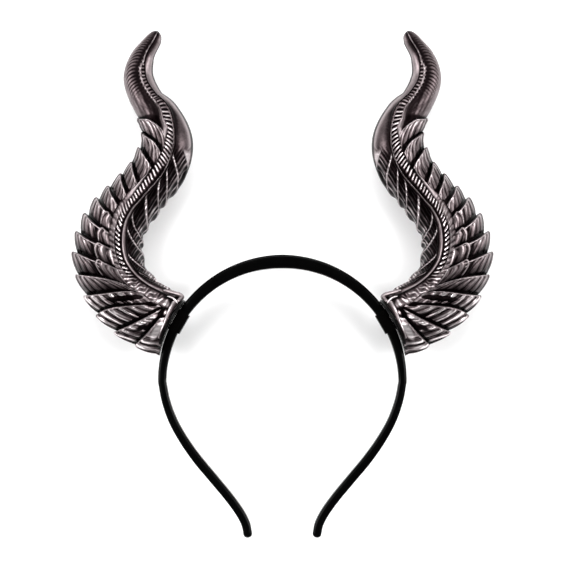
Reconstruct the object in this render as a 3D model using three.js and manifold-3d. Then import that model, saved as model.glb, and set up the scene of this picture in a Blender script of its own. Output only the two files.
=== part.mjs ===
// Ram horns headband: a moulded plastic band that carries two hollow cast horns with feathered flanks.
// Millimetres. The pieces are made round the centre of the arc that goes over the head: +X points to the
// right horn, +Y to the crown and the horn tips, and +Z to the front. The last step lays the whole object
// on the backs of its horns, with the origin below its middle.
import * as THREE from "three";
import { mergeVertices } from "three/addons/utils/BufferGeometryUtils.js";
import Module from "manifold-3d";

const wasm = await Module();
wasm.setup();

// Driving dimensions of the band
const HEAD_RADIUS = 66; // middle line of the arc over the head
const LEG_DROP = 83.5; // from the middle of the arc down to the end of a leg, before its round tip
const BAND_DEPTH = 9; // front to back
const CROWN_THICKNESS = 7.2;
const SIDE_THICKNESS = 4.1; // where the arc ends and the leg begins
const LEG_THICKNESS = 4.8; // halfway down the leg
const TIP_THICKNESS = 4.4;
const BAND_EDGE = 1.2; // bevel along the band's edges
const BEVEL_LIMIT = 0.6; // the most of a half side that the bevel takes

// Driving dimensions of the horns
const MOUNT_ANGLE = THREE.MathUtils.degToRad(27); // of a horn's base, above the horizontal
const HORN_RISE = 161; // from the middle of the base to the tip
const HORN_SWING = 31; // furthest outward bow of the horn's middle line
const HORN_WIDTH = 37.7; // widest, across the horn as seen from the front
const HORN_DEPTH = 35; // deepest, front to back
const HORN_LEAN = 6; // furthest that the middle line lies back from the band
const HORN_WALL = 2;
const HOLLOW_SHARE = 0.86; // of the horn's length that is hollow
const FEATHER_RELIEF = 1.8; // height of a feather's raised edge
const FEATHER_EDGE = 0.9; // half the thickness of a feather's tip
const FEATHER_COVER = 1.3; // how far a feather runs on under the next, in feather spacings
const FEATHER_ROOT = 0.22; // share of a feather's length over which its edge rises from the spine
const FEATHER_ROUNDNESS = 0.6; // power of the curve that bows a feather round the horn's flank
const ROOT_RELIEF = 0.25; // share of the relief that the edge has at its root
const COVERED_RELIEF = 0.1; // share of the relief that is left where the next feather covers this one
const SPINE_HEIGHT = 1.3; // of the ribbed spine above the flank
const SPINE_SHARE = 0.32; // width of the ribbed spine, as a share of the horn's half width
const SPINE_FADE = 0.4; // below this share of HORN_WIDTH the spine gets lower with the horn's half width
const RIM_HEIGHT = 0.8; // how far the base rim stands proud
const RIM_LENGTH = 5.5;

// Driving dimensions of what joins them
const PLATE_THICKNESS = 1.6;
const CLIP_LENGTH = 12; // along the band
const CLIP_WALL = 1.3;
const CLIP_SHIFT = THREE.MathUtils.degToRad(3); // of the clip's middle above the horn's
const GAP = 0.3; // between neighbouring pieces

// How the leg bends in, from the end of the arc to its tip
const LEG_ROWS = [
  // out: share of HEAD_RADIUS, down: share of LEG_DROP
  { out: 1.0, down: 0.0 },
  { out: 0.972, down: 0.118 },
  { out: 0.914, down: 0.25 },
  { out: 0.823, down: 0.381 },
  { out: 0.705, down: 0.513 },
  { out: 0.567, down: 0.644 },
  { out: 0.43, down: 0.776 },
  { out: 0.343, down: 0.875 },
  { out: 0.303, down: 0.941 },
  { out: 0.288, down: 1.0 },
];

// The horn from its base to its tip
const HORN_ROWS = [
  // out: share of HORN_SWING, up: share of HORN_RISE, width: share of HORN_WIDTH, depth: share of
  // HORN_DEPTH, back: share of HORN_LEAN, spine: where the spine's inner foot lies, from -1 at the horn's
  // inner edge to 1 at its outer edge
  { out: 0.0, up: 0.0, width: 0.876, depth: 0.94, back: 0.0, spine: -0.86 },
  { out: 0.342, up: 0.034, width: 0.964, depth: 1.0, back: 0.0, spine: -0.84 },
  { out: 0.822, up: 0.126, width: 0.993, depth: 1.0, back: 0.0, spine: -0.67 },
  { out: 1.0, up: 0.235, width: 1.0, depth: 1.0, back: 0.0, spine: -0.45 },
  { out: 0.902, up: 0.344, width: 0.949, depth: 0.98, back: 0.06, spine: -0.33 },
  { out: 0.511, up: 0.442, width: 0.861, depth: 0.9, back: 0.29, spine: -0.18 },
  { out: 0.129, up: 0.532, width: 0.796, depth: 0.82, back: 0.52, spine: -0.26 },
  { out: 0.0, up: 0.618, width: 0.74, depth: 0.76, back: 0.7, spine: -0.32 },
  { out: 0.147, up: 0.706, width: 0.613, depth: 0.65, back: 0.87, spine: -0.46 },
  { out: 0.36, up: 0.761, width: 0.482, depth: 0.55, back: 0.98, spine: -0.4 },
  { out: 0.52, up: 0.84, width: 0.44, depth: 0.45, back: 1.0, spine: -0.26 },
  { out: 0.45, up: 0.91, width: 0.345, depth: 0.35, back: 0.93, spine: -0.16 },
  { out: 0.25, up: 0.971, width: 0.2, depth: 0.21, back: 0.77, spine: -0.1 },
  { out: 0.175, up: 1.0, width: 0.065, depth: 0.07, back: 0.67, spine: -0.1 },
];

// The feathers of one flank, from the uppermost down to the base. Each row is the raised edge of one
// feather, which runs from its root on the spine out to its tip.
const FEATHER_ROWS = [
  // root and tip: shares of the horn's length, start and reach: how far out the edge starts and ends, and
  // hem: how far out the feather's lower corner lies, all three on the scale of the spine column
  { root: 0.689, start: 0.04, tip: 0.759, reach: 1.06, hem: 0.93 },
  { root: 0.606, start: 0.15, tip: 0.702, reach: 1.1, hem: 0.96 },
  { root: 0.551, start: 0.2, tip: 0.602, reach: 1.12, hem: 0.9 },
  { root: 0.489, start: 0.2, tip: 0.524, reach: 0.98, hem: 0.84 },
  { root: 0.444, start: 0.2, tip: 0.48, reach: 0.95, hem: 0.84 },
  { root: 0.407, start: 0.2, tip: 0.428, reach: 0.96, hem: 0.83 },
  { root: 0.372, start: 0.12, tip: 0.39, reach: 0.99, hem: 0.88 },
  { root: 0.328, start: 0.03, tip: 0.356, reach: 1.05, hem: 0.95 },
  { root: 0.285, start: -0.08, tip: 0.318, reach: 1.12, hem: 0.98 },
  { root: 0.224, start: -0.14, tip: 0.279, reach: 1.16, hem: 1.0 },
  { root: 0.14, start: -0.3, tip: 0.236, reach: 1.15, hem: 1.0 },
  { root: 0.094, start: -0.4, tip: 0.193, reach: 1.14, hem: 1.02 },
  { root: 0.05, start: -0.44, tip: 0.152, reach: 1.14, hem: 1.02 },
  { root: 0.03, start: -0.36, tip: 0.1, reach: 1.13, hem: 1.06 },
  { root: 0.02, start: -0.2, tip: 0.052, reach: 1.09, hem: 1.1 },
];

const CORE_OUTER_EDGE = 0.93; // where the bare horn ends under the feathers, as the spine column counts it
const BAND_STEPS = 15; // sections along a quarter of the arc
const LEG_STEPS = 15;
const TIP_TURNS = [45, 76].map(THREE.MathUtils.degToRad); // where the round tip of a leg has its sections
const HORN_STEPS = 36;
const HOLLOW_STEPS = 12;
const HOLLOW_SIDES = 12;
const BASE_SIDES = 24;
const CUT_MARGIN = 4; // how far a cutting body runs past what it cuts

const lerp = THREE.MathUtils.lerp;

// A closed body through rings of points that all have the same number of points. The end rings are closed
// with a fan round their middle.
function loft(rings) {
  const sides = rings[0].length;
  const ends = [rings[0], rings.at(-1)];
  const middles = ends.map((ring) =>
    ring.reduce((sum, point) => sum.add(point), new THREE.Vector3()).divideScalar(sides),
  );
  const points = [...rings.flat(), ...middles];
  const firstMiddle = rings.length * sides;
  const lastStart = (rings.length - 1) * sides;
  const faces = [];
  for (let side = 0; side < sides; side++) {
    const next = (side + 1) % sides;
    for (let start = 0; start < lastStart; start += sides) {
      const [a, b, c, d] = [start + side, start + next, start + sides + next, start + sides + side];
      faces.push(a, b, c, a, c, d);
    }
    faces.push(firstMiddle, next, side);
    faces.push(firstMiddle + 1, lastStart + side, lastStart + next);
  }
  return new THREE.BufferGeometry().setFromPoints(points).setIndex(faces);
}

// The geometry as a solid that can be joined and cut.
function solidOf(geometry) {
  const bare = geometry.clone();
  bare.deleteAttribute("normal");
  bare.deleteAttribute("uv");
  const merged = mergeVertices(bare, 1e-4);
  return new wasm.Manifold(
    new wasm.Mesh({
      numProp: 3,
      vertProperties: merged.attributes.position.array,
      triVerts: new Uint32Array(merged.index.array),
    }),
  );
}

function geometryOf(solid) {
  const { vertProperties, triVerts } = solid.getMesh();
  const geometry = new THREE.BufferGeometry();
  geometry.setAttribute("position", new THREE.BufferAttribute(vertProperties, 3));
  geometry.setIndex(new THREE.BufferAttribute(triVerts, 1));
  geometry.computeVertexNormals();
  return geometry;
}

// Part of a ring round the middle of the head, between two radii and two angles.
function sector(innerRadius, outerRadius, fromAngle, toAngle, depth) {
  const shape = new THREE.Shape();
  shape.absarc(0, 0, outerRadius, fromAngle, toAngle, false);
  shape.absarc(0, 0, innerRadius, toAngle, fromAngle, true);
  const block = new THREE.ExtrudeGeometry(shape, { depth, bevelEnabled: false, curveSegments: 10 });
  return solidOf(block.translate(0, 0, -depth / 2));
}

// The band's thickness on the arc, which thins from the crown to the sides.
function arcThickness(angle) {
  return lerp(SIDE_THICKNESS, CROWN_THICKNESS, angle / (Math.PI / 2));
}

// The band's thickness on the leg, by the share of the leg's length.
function legThickness(share) {
  const halves = share * 2;
  return halves < 1
    ? lerp(SIDE_THICKNESS, LEG_THICKNESS, halves)
    : lerp(LEG_THICKNESS, TIP_THICKNESS, halves - 1);
}

// One section of the band: a bevelled rectangle across the middle line, with its outward direction.
function bandRing({ point, outward, thickness, depth }) {
  const across = thickness / 2;
  const along = depth / 2;
  const bevel = Math.min(BAND_EDGE, across * BEVEL_LIMIT, along * BEVEL_LIMIT);
  const corners = [
    [across, along - bevel],
    [across - bevel, along],
    [bevel - across, along],
    [-across, along - bevel],
    [-across, bevel - along],
    [bevel - across, -along],
    [across - bevel, -along],
    [across, bevel - along],
  ];
  return corners.map(([out, front]) => point.clone().addScaledVector(outward, out).setZ(front));
}

// The sections of the band's right half, from the crown to the tip.
function bandHalf() {
  const sections = [];
  for (let step = 0; step < BAND_STEPS; step++) {
    const angle = (Math.PI / 2) * (1 - (step + 0.5) / BAND_STEPS);
    const outward = new THREE.Vector3(Math.cos(angle), Math.sin(angle), 0);
    const point = outward.clone().multiplyScalar(HEAD_RADIUS);
    sections.push({ point, outward, thickness: arcThickness(angle), depth: BAND_DEPTH });
  }
  const leg = new THREE.CatmullRomCurve3(
    LEG_ROWS.map((row) => new THREE.Vector3(row.out * HEAD_RADIUS, -row.down * LEG_DROP, 0)),
  );
  for (let step = 0; step <= LEG_STEPS; step++) {
    const share = step / LEG_STEPS;
    const tangent = leg.getTangentAt(share);
    const outward = new THREE.Vector3(-tangent.y, tangent.x, 0);
    const point = leg.getPointAt(share);
    sections.push({ point, outward, thickness: legThickness(share), depth: BAND_DEPTH });
  }
  const end = sections.at(-1);
  const onward = leg.getTangentAt(1);
  for (const turn of TIP_TURNS) {
    const shrink = (TIP_THICKNESS / 2) * (1 - Math.cos(turn));
    sections.push({
      point: end.point.clone().addScaledVector(onward, (TIP_THICKNESS / 2) * Math.sin(turn)),
      outward: end.outward,
      thickness: TIP_THICKNESS - 2 * shrink,
      depth: BAND_DEPTH - 2 * shrink,
    });
  }
  return sections;
}

function headbandGeometry() {
  const right = bandHalf();
  const mirror = new THREE.Vector3(-1, 1, 1);
  const left = right.map((section) => ({
    ...section,
    point: section.point.clone().multiply(mirror),
    outward: section.outward.clone().multiply(mirror),
  }));
  return loft([...left.reverse(), ...right].map(bandRing)).toNonIndexed();
}

// Where the horn's base and its plate lie, seen from the middle of the head.
const baseHalfAngle = ((HORN_ROWS[0].width * HORN_WIDTH) / 2 + RIM_HEIGHT) / HEAD_RADIUS;
const plateRadius = HEAD_RADIUS + arcThickness(MOUNT_ANGLE + baseHalfAngle) / 2 + GAP;
const baseRadius = plateRadius + PLATE_THICKNESS + GAP;
const baseDirection = new THREE.Vector3(Math.cos(MOUNT_ANGLE), Math.sin(MOUNT_ANGLE), 0);
const baseMiddle = baseDirection.clone().multiplyScalar(baseRadius);

const middleLine = new THREE.CatmullRomCurve3(
  HORN_ROWS.map(({ out, up, back }) =>
    new THREE.Vector3(out * HORN_SWING, up * HORN_RISE, -back * HORN_LEAN).add(baseMiddle),
  ),
);
const girthLine = new THREE.CatmullRomCurve3(
  HORN_ROWS.map(({ width, depth, spine }) =>
    new THREE.Vector3((width * HORN_WIDTH) / 2, (depth * HORN_DEPTH) / 2, spine),
  ),
);

// The horn's section at a share of its length: its middle, the direction of its feathered side, its half
// width, its half depth and where its spine lies. A share below 0 runs straight on into the head.
function hornSection(share) {
  const t = middleLine.getUtoTmapping(Math.max(share, 0));
  const middle = middleLine.getPoint(t);
  const tangent = share <= 0 ? baseDirection.clone() : middleLine.getTangent(t).setZ(0).normalize();
  middle.addScaledVector(tangent, Math.min(share, 0) * middleLine.getLength());
  const [width, depth, spine] = girthLine.getPoint(t).toArray();
  return { middle, outward: new THREE.Vector3(tangent.y, -tangent.x, 0), width, depth, spine };
}

// A point of a section: across is -1 at the inner edge and 1 at the outer edge, front is a height in mm.
function sectionPoint(section, across, front) {
  const point = section.middle.clone().addScaledVector(section.outward, across * section.width);
  return point.add(new THREE.Vector3(0, 0, front));
}

// Height of the bare horn's surface above its middle plane.
function coreHeight(section, across) {
  const edge = across < 0 ? 1 : CORE_OUTER_EDGE;
  return section.depth * Math.sqrt(Math.max(0, 1 - (across / edge) ** 2));
}

// A section of the bare horn, with its ribbed spine on the front and on the back.
function coreRing(share) {
  const section = hornSection(share);
  const { spine, width } = section;
  const rise = SPINE_HEIGHT * Math.min(1, width / (SPINE_FADE * HORN_WIDTH));
  const outerFoot = spine + SPINE_SHARE;
  const front = [
    ...[0.1, 0.4, 0.75].map((part) => ({ across: lerp(-1, spine, part), raised: 0 })),
    { across: spine, raised: 0 },
    { across: spine + SPINE_SHARE * 0.2, raised: rise },
    { across: spine + SPINE_SHARE * 0.8, raised: rise },
    { across: outerFoot, raised: 0 },
    ...[0.35, 0.7, 0.92].map((part) => ({ across: lerp(outerFoot, CORE_OUTER_EDGE, part), raised: 0 })),
  ];
  const upper = front.map(({ across, raised }) =>
    sectionPoint(section, across, coreHeight(section, across) + raised),
  );
  const lower = front.map(({ across, raised }) =>
    sectionPoint(section, across, -coreHeight(section, across) - raised),
  );
  return [
    sectionPoint(section, -1, 0),
    ...upper,
    sectionPoint(section, CORE_OUTER_EDGE, 0),
    ...lower.reverse(),
  ];
}

// An oval section of the horn, made larger by a height, or smaller where the height is below 0.
function ovalRing(share, sides, height, outerEdge) {
  const section = hornSection(share);
  return Array.from({ length: sides }, (_, side) => {
    const angle = Math.PI - (side / sides) * 2 * Math.PI;
    const edge = Math.cos(angle) < 0 ? 1 : outerEdge;
    const across = Math.cos(angle) * (edge + height / section.width);
    return sectionPoint(section, across, Math.sin(angle) * (section.depth + height));
  });
}

const pastBase = -(CUT_MARGIN + RIM_LENGTH) / middleLine.getLength();

function hornCore() {
  const rings = [coreRing(pastBase)];
  for (let step = 0; step <= HORN_STEPS; step++) {
    rings.push(coreRing(step / HORN_STEPS));
  }
  return solidOf(loft(rings));
}

function hornHollow() {
  const rings = [ovalRing(pastBase * 2, HOLLOW_SIDES, -HORN_WALL, CORE_OUTER_EDGE)];
  for (let step = 0; step <= HOLLOW_STEPS; step++) {
    rings.push(ovalRing((step / HOLLOW_STEPS) * HOLLOW_SHARE, HOLLOW_SIDES, -HORN_WALL, CORE_OUTER_EDGE));
  }
  return solidOf(loft(rings));
}

// The straight stub that the base rim and the base plate are cut from.
function baseStub() {
  const rim = (share) => ovalRing(share, BASE_SIDES, RIM_HEIGHT, 1);
  return solidOf(loft([rim(pastBase), rim(0), rim(-pastBase)]));
}

// A sector wider and deeper than the horn's base.
function baseSector(innerRadius, outerRadius) {
  const fromAngle = MOUNT_ANGLE - 2 * baseHalfAngle;
  const toAngle = MOUNT_ANGLE + 2 * baseHalfAngle;
  return sector(innerRadius, outerRadius, fromAngle, toAngle, 2 * HORN_DEPTH);
}

// One feather, the same on the front and on the back: a grid from its root to its tip and from its raised
// edge down to where the next feather covers it.
function feather(row, next) {
  const along = [0, FEATHER_ROOT, 0.46, 0.7, 0.88, 1];
  const down = [0, 0.5, 1];
  const grid = along.map((out) =>
    down.map((low) => {
      const edgeShare = lerp(row.root, row.tip, out);
      const nextShare = lerp(next.root, next.tip, out);
      const section = hornSection(lerp(edgeShare, nextShare, low * FEATHER_COVER));
      const reach = lerp(row.reach, row.hem, low);
      const start = lerp(row.start, next.start, low);
      const across = lerp(start, reach, out);
      const flank = Math.min(1, Math.abs(across / row.reach));
      const hump = section.depth * (1 - flank ** 2) ** FEATHER_ROUNDNESS;
      const grown = lerp(ROOT_RELIEF, 1, Math.min(1, out / FEATHER_ROOT));
      const raised = FEATHER_RELIEF * grown * lerp(1, COVERED_RELIEF, low);
      const height = Math.max(hump, coreHeight(section, across)) + lerp(raised, FEATHER_EDGE, out ** 4);
      return [sectionPoint(section, across, height), sectionPoint(section, across, -height)];
    }),
  );
  const rings = grid.map((column) => [
    ...column.map(([front]) => front),
    ...column.map(([, back]) => back).reverse(),
  ]);
  return solidOf(loft(rings));
}

function hornGeometry() {
  let horn = hornCore();
  FEATHER_ROWS.forEach((row, index) => {
    const above = FEATHER_ROWS[index - 1];
    const next = FEATHER_ROWS[index + 1] ?? { ...row, root: 0, tip: row.tip - (above.tip - row.tip) };
    horn = horn.add(feather(row, next));
  });
  horn = horn.add(baseStub().intersect(baseSector(baseRadius, baseRadius + RIM_LENGTH)));
  horn = horn.subtract(hornHollow());
  return geometryOf(horn.subtract(baseSector(HEAD_RADIUS / 2, baseRadius)));
}

function basePlateGeometry() {
  return geometryOf(baseStub().intersect(baseSector(plateRadius, plateRadius + PLATE_THICKNESS)));
}

// The clip: a wall inside the band and a cheek on each side of it, which reach up to the base plate.
function clipGeometry() {
  const angle = MOUNT_ANGLE + CLIP_SHIFT;
  const halfAngle = CLIP_LENGTH / 2 / HEAD_RADIUS;
  const bandInside = HEAD_RADIUS - arcThickness(angle + halfAngle) / 2 - GAP;
  const channelDepth = BAND_DEPTH + 2 * GAP;
  const block = sector(
    bandInside - CLIP_WALL,
    plateRadius - GAP,
    angle - halfAngle,
    angle + halfAngle,
    channelDepth + 2 * CLIP_WALL,
  );
  const channel = sector(
    bandInside,
    plateRadius + CUT_MARGIN,
    angle - 2 * halfAngle,
    angle + 2 * halfAngle,
    channelDepth,
  );
  return geometryOf(block.subtract(channel));
}

const blackPlastic = new THREE.MeshStandardMaterial({ color: 0x0e0e10, roughness: 0.42, metalness: 0 });
const pewter = new THREE.MeshStandardMaterial({ color: 0x6f6668, roughness: 0.36, metalness: 0.85 });

function namedMesh(name, geometry, material) {
  const mesh = new THREE.Mesh(geometry, material);
  mesh.name = name;
  return mesh;
}

const headband = namedMesh("headband", headbandGeometry(), blackPlastic);
const shapes = [
  { name: "horn", geometry: hornGeometry(), material: pewter },
  { name: "base_plate", geometry: basePlateGeometry(), material: blackPlastic },
  { name: "clip", geometry: clipGeometry(), material: blackPlastic },
];
const sides = ["right", "left"].map((side) => {
  const group = new THREE.Group();
  shapes.forEach(({ name, geometry, material }) => {
    group.add(namedMesh(`${name}_${side}`, geometry, material));
  });
  group.scale.x = side === "left" ? -1 : 1;
  return group;
});

const ramHornsHeadband = new THREE.Group();
ramHornsHeadband.add(headband, ...sides);

// The object lies on its back: its lowest point touches z = 0 and its outline is centred on the origin.
const outline = new THREE.Box3().setFromObject(ramHornsHeadband);
const middle = outline.getCenter(new THREE.Vector3());
ramHornsHeadband.position.set(-middle.x, -middle.y, -outline.min.z);

export default ramHornsHeadband;
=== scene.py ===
# Ram horns headband: the fine relief and the finish of every surface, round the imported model.
# Lengths are in millimetres, in the horns' own frame: round the middle of the arc that goes over the head,
# with the right horn towards +X. Blender's objects are in metres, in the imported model's frame.
import math

import bpy
import mathutils
import numpy as np
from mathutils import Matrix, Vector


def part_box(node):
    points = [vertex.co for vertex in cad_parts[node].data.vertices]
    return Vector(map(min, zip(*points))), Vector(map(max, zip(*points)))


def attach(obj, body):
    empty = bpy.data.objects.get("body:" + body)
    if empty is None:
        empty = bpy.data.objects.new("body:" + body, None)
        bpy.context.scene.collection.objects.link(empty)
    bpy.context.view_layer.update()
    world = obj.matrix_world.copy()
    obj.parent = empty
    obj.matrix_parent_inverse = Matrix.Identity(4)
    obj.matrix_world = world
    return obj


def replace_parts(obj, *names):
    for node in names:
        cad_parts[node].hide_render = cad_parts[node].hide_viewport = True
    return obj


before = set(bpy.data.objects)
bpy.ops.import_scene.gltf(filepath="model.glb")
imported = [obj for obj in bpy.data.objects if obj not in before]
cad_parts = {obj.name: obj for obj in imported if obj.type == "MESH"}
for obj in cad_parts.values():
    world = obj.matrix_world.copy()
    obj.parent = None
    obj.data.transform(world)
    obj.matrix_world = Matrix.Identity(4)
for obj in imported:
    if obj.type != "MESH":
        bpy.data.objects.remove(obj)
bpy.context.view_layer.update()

MM = 0.001

# Sizes of the band
HEAD_RADIUS = 66.0
CROWN_OUTSIDE = 69.45  # from the middle of the head to the band's outer side at the crown
LEG_DROP = 83.5
BAND_DEPTH = 9.0
CROWN_THICKNESS = 7.2
SIDE_THICKNESS = 4.1
LEG_THICKNESS = 4.8
TIP_THICKNESS = 4.4
BAND_ROUNDING = 1.3
BAND_FULLNESS = 0.22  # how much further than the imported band's its outer and its inner side lie

# Sizes of the horns
MOUNT_ANGLE = math.radians(27)
HORN_RISE = 161.0
HORN_SWING = 31.0
HORN_WIDTH = 37.7
HORN_DEPTH = 35.0
HORN_LEAN = 6.0
SPINE_FADE = 0.4  # share of the horn's width below which the relief grows shallower
RIM_HEIGHT = 0.8
TIP_ROUNDING = 0.013  # share of the horn's length that its round tip takes
TIP_FULLNESS = 1.0  # added to the half width and half depth of the tip

# Sizes of what joins them
PLATE_THICKNESS = 1.6
PLATE_INSET = 1.5  # how far its inner end stays behind the horn's corner
CLIP_LENGTH = 12.0
CLIP_WALL = 0.75
CLIP_SHIFT = math.radians(3)
GAP = 0.3
SOFT_EDGE = 0.45  # how far the edges of plates and clips are rounded

# How the leg bends in: out as a share of HEAD_RADIUS, down as a share of LEG_DROP
LEG_ROWS = [
    (1.0, 0.0),
    (0.972, 0.118),
    (0.914, 0.25),
    (0.823, 0.381),
    (0.705, 0.513),
    (0.567, 0.644),
    (0.43, 0.776),
    (0.343, 0.875),
    (0.303, 0.941),
    (0.288, 1.0),
]

# The horn from base to tip: out, up, width, depth and back as shares of HORN_SWING, HORN_RISE, HORN_WIDTH,
# HORN_DEPTH and HORN_LEAN, and the spine's inner foot from -1 at the inner edge to 1 at the outer edge
HORN_ROWS = [
    (0.0, 0.0, 0.876, 0.94, 0.0, -0.86),
    (0.342, 0.034, 0.964, 1.0, 0.0, -0.84),
    (0.822, 0.126, 0.993, 1.0, 0.0, -0.67),
    (1.0, 0.235, 1.0, 1.0, 0.0, -0.45),
    (0.902, 0.344, 0.949, 0.98, 0.06, -0.33),
    (0.511, 0.442, 0.861, 0.9, 0.29, -0.18),
    (0.129, 0.532, 0.796, 0.82, 0.52, -0.26),
    (0.0, 0.618, 0.74, 0.76, 0.7, -0.32),
    (0.147, 0.706, 0.613, 0.65, 0.87, -0.46),
    (0.36, 0.761, 0.482, 0.55, 0.98, -0.4),
    (0.52, 0.84, 0.44, 0.45, 1.0, -0.26),
    (0.45, 0.91, 0.345, 0.35, 0.93, -0.16),
    (0.25, 0.971, 0.2, 0.21, 0.77, -0.1),
    (0.175, 1.0, 0.065, 0.07, 0.67, -0.1),
]

# The feathers of one flank from the uppermost down: root and tip as shares of the horn's length, then
# start, reach and hem across the horn, on the scale of the spine's foot
FEATHER_ROWS = [
    (0.67, 0.04, 0.759, 1.16, 0.95),
    (0.606, 0.15, 0.702, 1.1, 0.96),
    (0.551, 0.2, 0.602, 1.12, 0.87),
    (0.489, 0.2, 0.524, 0.98, 0.8),
    (0.444, 0.2, 0.48, 0.95, 0.8),
    (0.407, 0.2, 0.428, 0.96, 0.79),
    (0.372, 0.12, 0.39, 0.99, 0.83),
    (0.328, 0.03, 0.356, 1.05, 0.9),
    (0.285, -0.08, 0.318, 1.12, 0.94),
    (0.224, -0.14, 0.279, 1.16, 1.0),
    (0.14, -0.3, 0.236, 1.15, 0.96),
    (0.094, -0.4, 0.193, 1.14, 0.97),
    (0.05, -0.44, 0.152, 1.14, 0.97),
    (0.03, -0.36, 0.1, 1.13, 1.0),
    (0.02, -0.2, 0.052, 1.09, 1.1),
]

# The spine at shares of the horn's length: where its inner foot lies across the horn, how far from there
# its smooth inner rail, its ribs and its outer rail reach, all as shares of the horn's half width, and how
# far the ribs lean to the tip
SPINE_ROWS = [
    (0.0, -0.95, 0.1, 0.3, 0.42, 0.35),
    (0.03, -0.94, 0.1, 0.3, 0.42, 0.35),
    (0.072, -0.86, 0.09, 0.32, 0.43, 0.35),
    (0.115, -0.76, 0.085, 0.28, 0.38, 0.35),
    (0.186, -0.655, 0.1, 0.28, 0.38, 0.6),
    (0.242, -0.55, 0.12, 0.3, 0.4, 0.65),
    (0.287, -0.505, 0.125, 0.32, 0.43, 0.65),
    (0.329, -0.465, 0.125, 0.335, 0.45, 0.7),
    (0.382, -0.38, 0.11, 0.33, 0.455, 0.75),
    (0.431, -0.28, 0.08, 0.34, 0.46, 0.6),
    (0.47, -0.28, 0.06, 0.37, 0.495, 0.5),
    (0.53, -0.275, 0.05, 0.445, 0.565, 0.5),
    (0.577, -0.28, 0.05, 0.51, 0.62, 0.6),
    (0.621, -0.29, 0.055, 0.52, 0.615, 0.75),
    (0.653, -0.34, 0.06, 0.37, 0.5, 0.8),
    (0.684, -0.46, 0.065, 0.29, 0.46, 0.75),
    (0.712, -0.57, 0.07, 0.42, 0.53, 0.6),
    (0.74, -0.66, 0.06, 0.31, 0.42, 0.5),
    (0.77, -0.69, 0.05, 0.27, 0.38, 0.4),
    (0.793, -0.61, 0.04, 0.23, 0.34, 0.3),
    (0.828, -0.51, 0.04, 0.23, 0.34, 0.1),
    (0.86, -0.47, 0.04, 0.23, 0.35, 0.1),
    (0.88, -0.41, 0.04, 0.26, 0.39, 0.0),
    (0.9, -0.32, 0.03, 0.04, 0.15, 0.0),
    (0.925, -0.26, 0.02, 0.03, 0.14, 0.0),
    (0.95, -0.18, 0.02, 0.03, 0.16, 0.0),
    (1.0, -0.15, 0.02, 0.03, 0.16, 0.0),
]

# The curved edges of the scales on the inner face: where each leaves the spine's rail and where it meets
# the horn's inner edge, both as shares of the horn's length
SCALE_ROWS = [
    (0.0, -0.2),
    (0.045, -0.14),
    (0.09, -0.09),
    (0.15, -0.03),
    (0.209, 0.04),
    (0.275, 0.13),
    (0.37, 0.245),
    (0.422, 0.31),
    (0.485, 0.4),
    (0.545, 0.45),
    (0.575, 0.492),
    (0.615, 0.535),
    (0.665, 0.585),
]

# The core's inner and outer side at shares of the horn's length, as shares of the horn's half width
EDGE_ROWS = [
    (0.05, 1.0, 0.93),
    (0.1, 0.96, 0.93),
    (0.15, 0.94, 0.93),
    (0.21, 0.95, 0.93),
    (0.28, 0.96, 0.93),
    (0.4, 0.99, 0.84),
    (0.48, 0.97, 0.75),
    (0.56, 0.99, 0.77),
    (0.62, 1.0, 0.86),
    (0.72, 1.0, 0.94),
    (0.8, 1.0, 1.02),
    (0.92, 1.0, 1.03),
    (1.0, 1.0, 1.0),
]

# Hollows and bright patches of the casting near the base: the middle in mm from the middle of the head,
# half length, half width, angle in degrees, lift in mm and the tone there, painted shade in the hollows and
# painted highlights on the patches
SPOT_ROWS = [
    (85.7, 45.9, 11.0, 1.6, -4, -1.0, 0.04),
    (64.6, 43.8, 3.6, 2.2, -10, 0.0, 0.4),
    (66.6, 44.7, 2.7, 0.75, -38, 0.35, 0.85),
    (63.4, 43.4, 2.5, 0.8, -62, 0.35, 0.9),
    (65.2, 42.3, 1.9, 0.7, 8, 0.3, 0.8),
    (71.1, 42.6, 3.8, 1.3, 0, -0.9, 0.0),
    (64.8, 37.9, 3.5, 2.1, -47, -1.2, 0.0),
    (64.0, 37.6, 1.1, 0.8, 0, 0.8, 0.95),
    (69.4, 45.0, 2.4, 0.7, -40, 0.3, 0.85),
    (68.2, 28.3, 6.6, 2.3, -58, 0.3, 1.0),
    (74.7, 30.5, 6.6, 1.8, -21, -0.8, 0.05),
    (57.4, 45.6, 3.6, 1.7, 30, -0.9, 0.0),
    (72.3, 34.6, 5.0, 1.8, -28, 0.4, 0.8),
]

# The rail's end at the inner corner of the base, and the bright curl beside it: mm from the base end, place
# across the horn, mm above the middle plane, and radius in mm
RAIL_END_ROWS = [
    (13.0, -0.845, 8.9, 0.95),
    (8.6, -0.894, 7.9, 1.05),
    (4.2, -0.965, 6.6, 1.15),
    (2.2, -1.0, 5.6, 1.2),
    (1.0, -0.985, 5.6, 1.15),
    (0.8, -0.92, 7.0, 1.05),
    (0.9, -0.845, 8.9, 0.95),
    (1.1, -0.785, 10.2, 0.8),
]
CURL_ROWS = [
    (7.0, -0.77, 10.7, 0.25),
    (4.9, -0.8, 10.4, 0.45),
    (3.0, -0.81, 10.4, 0.5),
    (1.5, -0.785, 10.9, 0.45),
    (0.4, -0.74, 11.6, 0.3),
]


def smooth(value, low, high):
    """0 below low, 1 above high, and a smooth curve between them."""
    portion = np.clip((value - low) / (high - low), 0, 1)
    return portion * portion * (3 - 2 * portion)


def bell(value, width):
    """A round bump of height 1 at 0."""
    return np.exp(-((value / width) ** 2))


def mix(a, b, portion):
    return a + (b - a) * portion


def between(value, rise_from, rise_to, fall_from, fall_to):
    """1 between rise_to and fall_from, 0 outside, with a smooth curve on either side."""
    return smooth(value, rise_from, rise_to) * (1 - smooth(value, fall_from, fall_to))


def columns_at(rows, share):
    """A table's further columns, read at a place in its first column."""
    first, *others = np.array(rows).T
    return [np.interp(share, first, column) for column in others]


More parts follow.
